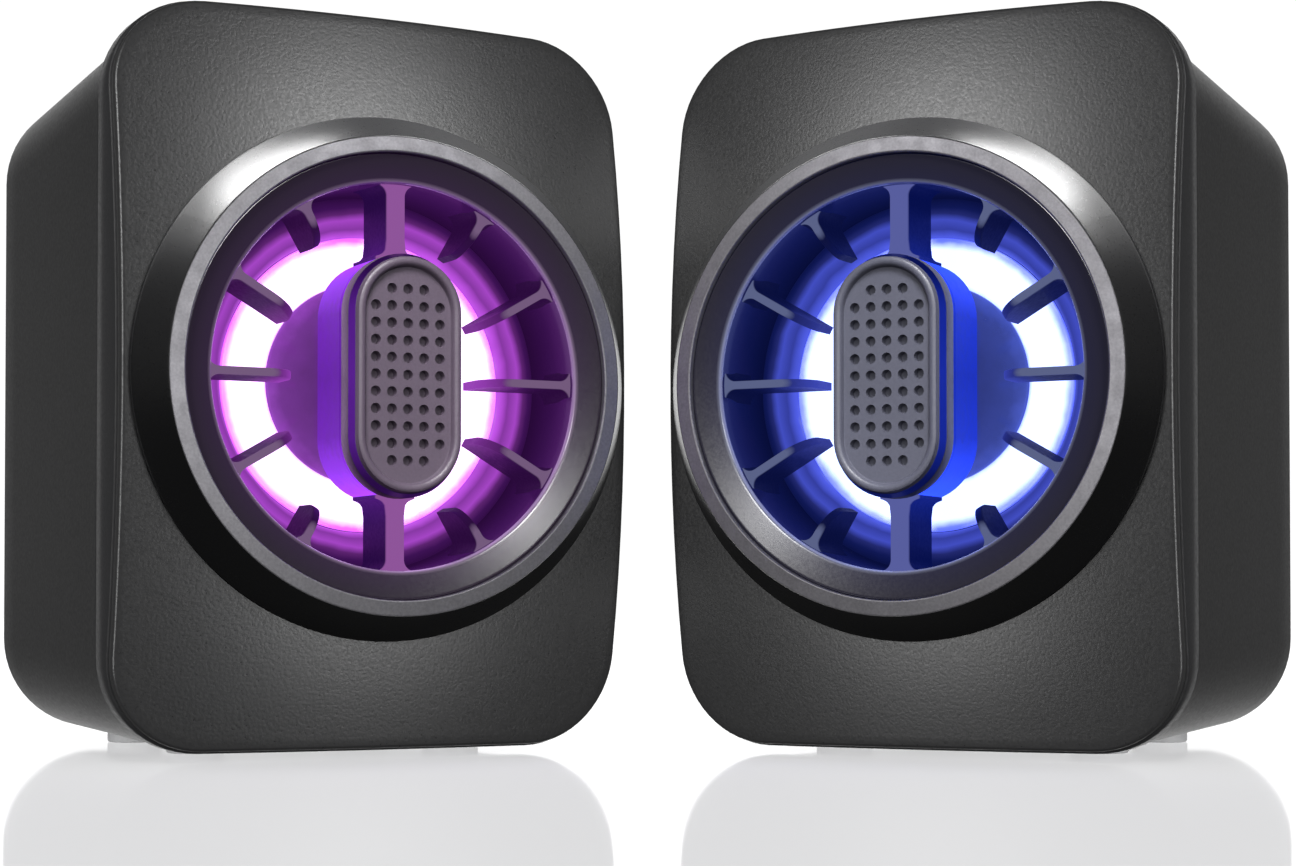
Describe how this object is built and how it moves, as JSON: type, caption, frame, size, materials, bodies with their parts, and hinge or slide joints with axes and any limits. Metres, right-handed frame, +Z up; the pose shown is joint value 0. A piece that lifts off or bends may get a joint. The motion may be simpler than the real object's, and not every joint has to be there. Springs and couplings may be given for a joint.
{
  "type": "desktop speakers",
  "caption": "Pair of small desktop speakers with domed fronts, a lit driver behind a spoked round grille and a pill-shaped centre cap.",
  "frame": {"origin": "on the desk, midway between the two cabinets and midway along the pair's depth", "axes": "+X to the listener's right, +Y away from the listener, +Z up"},
  "size_m": [0.1946, 0.0974, 0.1],
  "materials": {
    "shell_plastic": "fine satin grain, black moulded ABS",
    "face_plastic": "fine leather-like grain, dark grey",
    "ring_plastic": "satin gloss black",
    "silver_trim": "satin silver paint",
    "grille_plastic": "fine matt grain, dark grey",
    "pill_plastic": "matt mid grey",
    "basket_steel": "zinc-plated pressed steel",
    "screw_steel": "blackened steel",
    "ferrite": "fired ferrite, matt",
    "circuit_board": "green solder mask",
    "spider_cloth": "resin-stiffened woven cloth",
    "coil_copper": "enamelled copper winding",
    "cone_violet": "translucent film lit from behind, violet",
    "cone_blue": "translucent film lit from behind, blue",
    "cap_plastic": "smoked gloss film",
    "soft_rubber": "satin butyl rubber",
    "gland_rubber": "matt moulded rubber",
    "foot_rubber": "frosted clear silicone bumper",
    "knob_plastic": "satin black",
    "button_plastic": "gloss black"
  },
  "bodies": {
    "left_cabinet": {"left_rear_shell": "shell_plastic", "left_front_frame": "shell_plastic", "left_fascia": "face_plastic", "left_trim_ring": "ring_plastic", "left_silver_ring": "silver_trim", "left_grille": "grille_plastic", "left_pill_cap": "pill_plastic", "left_basket": "basket_steel", "left_top_plate": "basket_steel", "left_magnet": "ferrite", "left_yoke": "basket_steel", "left_lamp_board": "circuit_board", "left_spider": "spider_cloth", "left_surround": "soft_rubber", "left_cable_gland": "gland_rubber", "left_foot_1": "foot_rubber", "left_foot_2": "foot_rubber", "left_foot_3": "foot_rubber", "left_foot_4": "foot_rubber", "left_case_screw_1": "screw_steel", "left_case_screw_2": "screw_steel", "left_case_screw_3": "screw_steel", "left_case_screw_4": "screw_steel"},
    "left_cone": {"left_voice_coil": "coil_copper", "left_cone": "cone_violet", "left_dust_cap": "cap_plastic"},
    "right_cabinet": {"right_rear_shell": "shell_plastic", "right_front_frame": "shell_plastic", "right_fascia": "face_plastic", "right_trim_ring": "ring_plastic", "right_silver_ring": "silver_trim", "right_grille": "grille_plastic", "right_pill_cap": "pill_plastic", "right_basket": "basket_steel", "right_top_plate": "basket_steel", "right_magnet": "ferrite", "right_yoke": "basket_steel", "right_lamp_board": "circuit_board", "right_spider": "spider_cloth", "right_surround": "soft_rubber", "right_cable_gland": "gland_rubber", "right_foot_1": "foot_rubber", "right_foot_2": "foot_rubber", "right_foot_3": "foot_rubber", "right_foot_4": "foot_rubber", "right_case_screw_1": "screw_steel", "right_case_screw_2": "screw_steel", "right_case_screw_3": "screw_steel", "right_case_screw_4": "screw_steel", "amplifier_board": "circuit_board", "volume_pot": "basket_steel", "light_switch": "knob_plastic"},
    "right_cone": {"right_voice_coil": "coil_copper", "right_cone": "cone_blue", "right_dust_cap": "cap_plastic"},
    "volume_control": {"volume_shaft": "basket_steel", "volume_knob": "knob_plastic"},
    "light_button": {"light_button": "button_plastic"}
  },
  "joints": [
    {"name": "left_cone_stroke", "type": "slide", "parent": "left_cabinet", "child": "left_cone", "axis": [0.4617, -0.887, 0], "range_m": [-0.0012, 0.0012], "stiffness_N_per_m": 1000, "deforming": ["left_surround", "left_spider"]},
    {"name": "right_speaker_turn", "type": "hinge", "parent": "left_cabinet", "child": "right_cabinet", "pos_m": [0.053, 0.0061, 0], "axis": [0, 0, 1], "range_deg": [-30, 180]},
    {"name": "right_cone_stroke", "type": "slide", "parent": "right_cabinet", "child": "right_cone", "axis": [-0.4617, -0.887, 0], "range_m": [-0.0012, 0.0012], "stiffness_N_per_m": 1000, "deforming": ["right_surround", "right_spider"]},
    {"name": "volume_turn", "type": "hinge", "parent": "right_cabinet", "child": "volume_control", "pos_m": [0.07814, 0.02841, 0.062], "axis": [0.4617, 0.887, 0], "range_deg": [-150, 150]},
    {"name": "light_button_press", "type": "slide", "parent": "right_cabinet", "child": "light_button", "axis": [-0.4617, -0.887, 0], "range_m": [0, 0.001], "stiffness_N_per_m": 600}
  ]
}
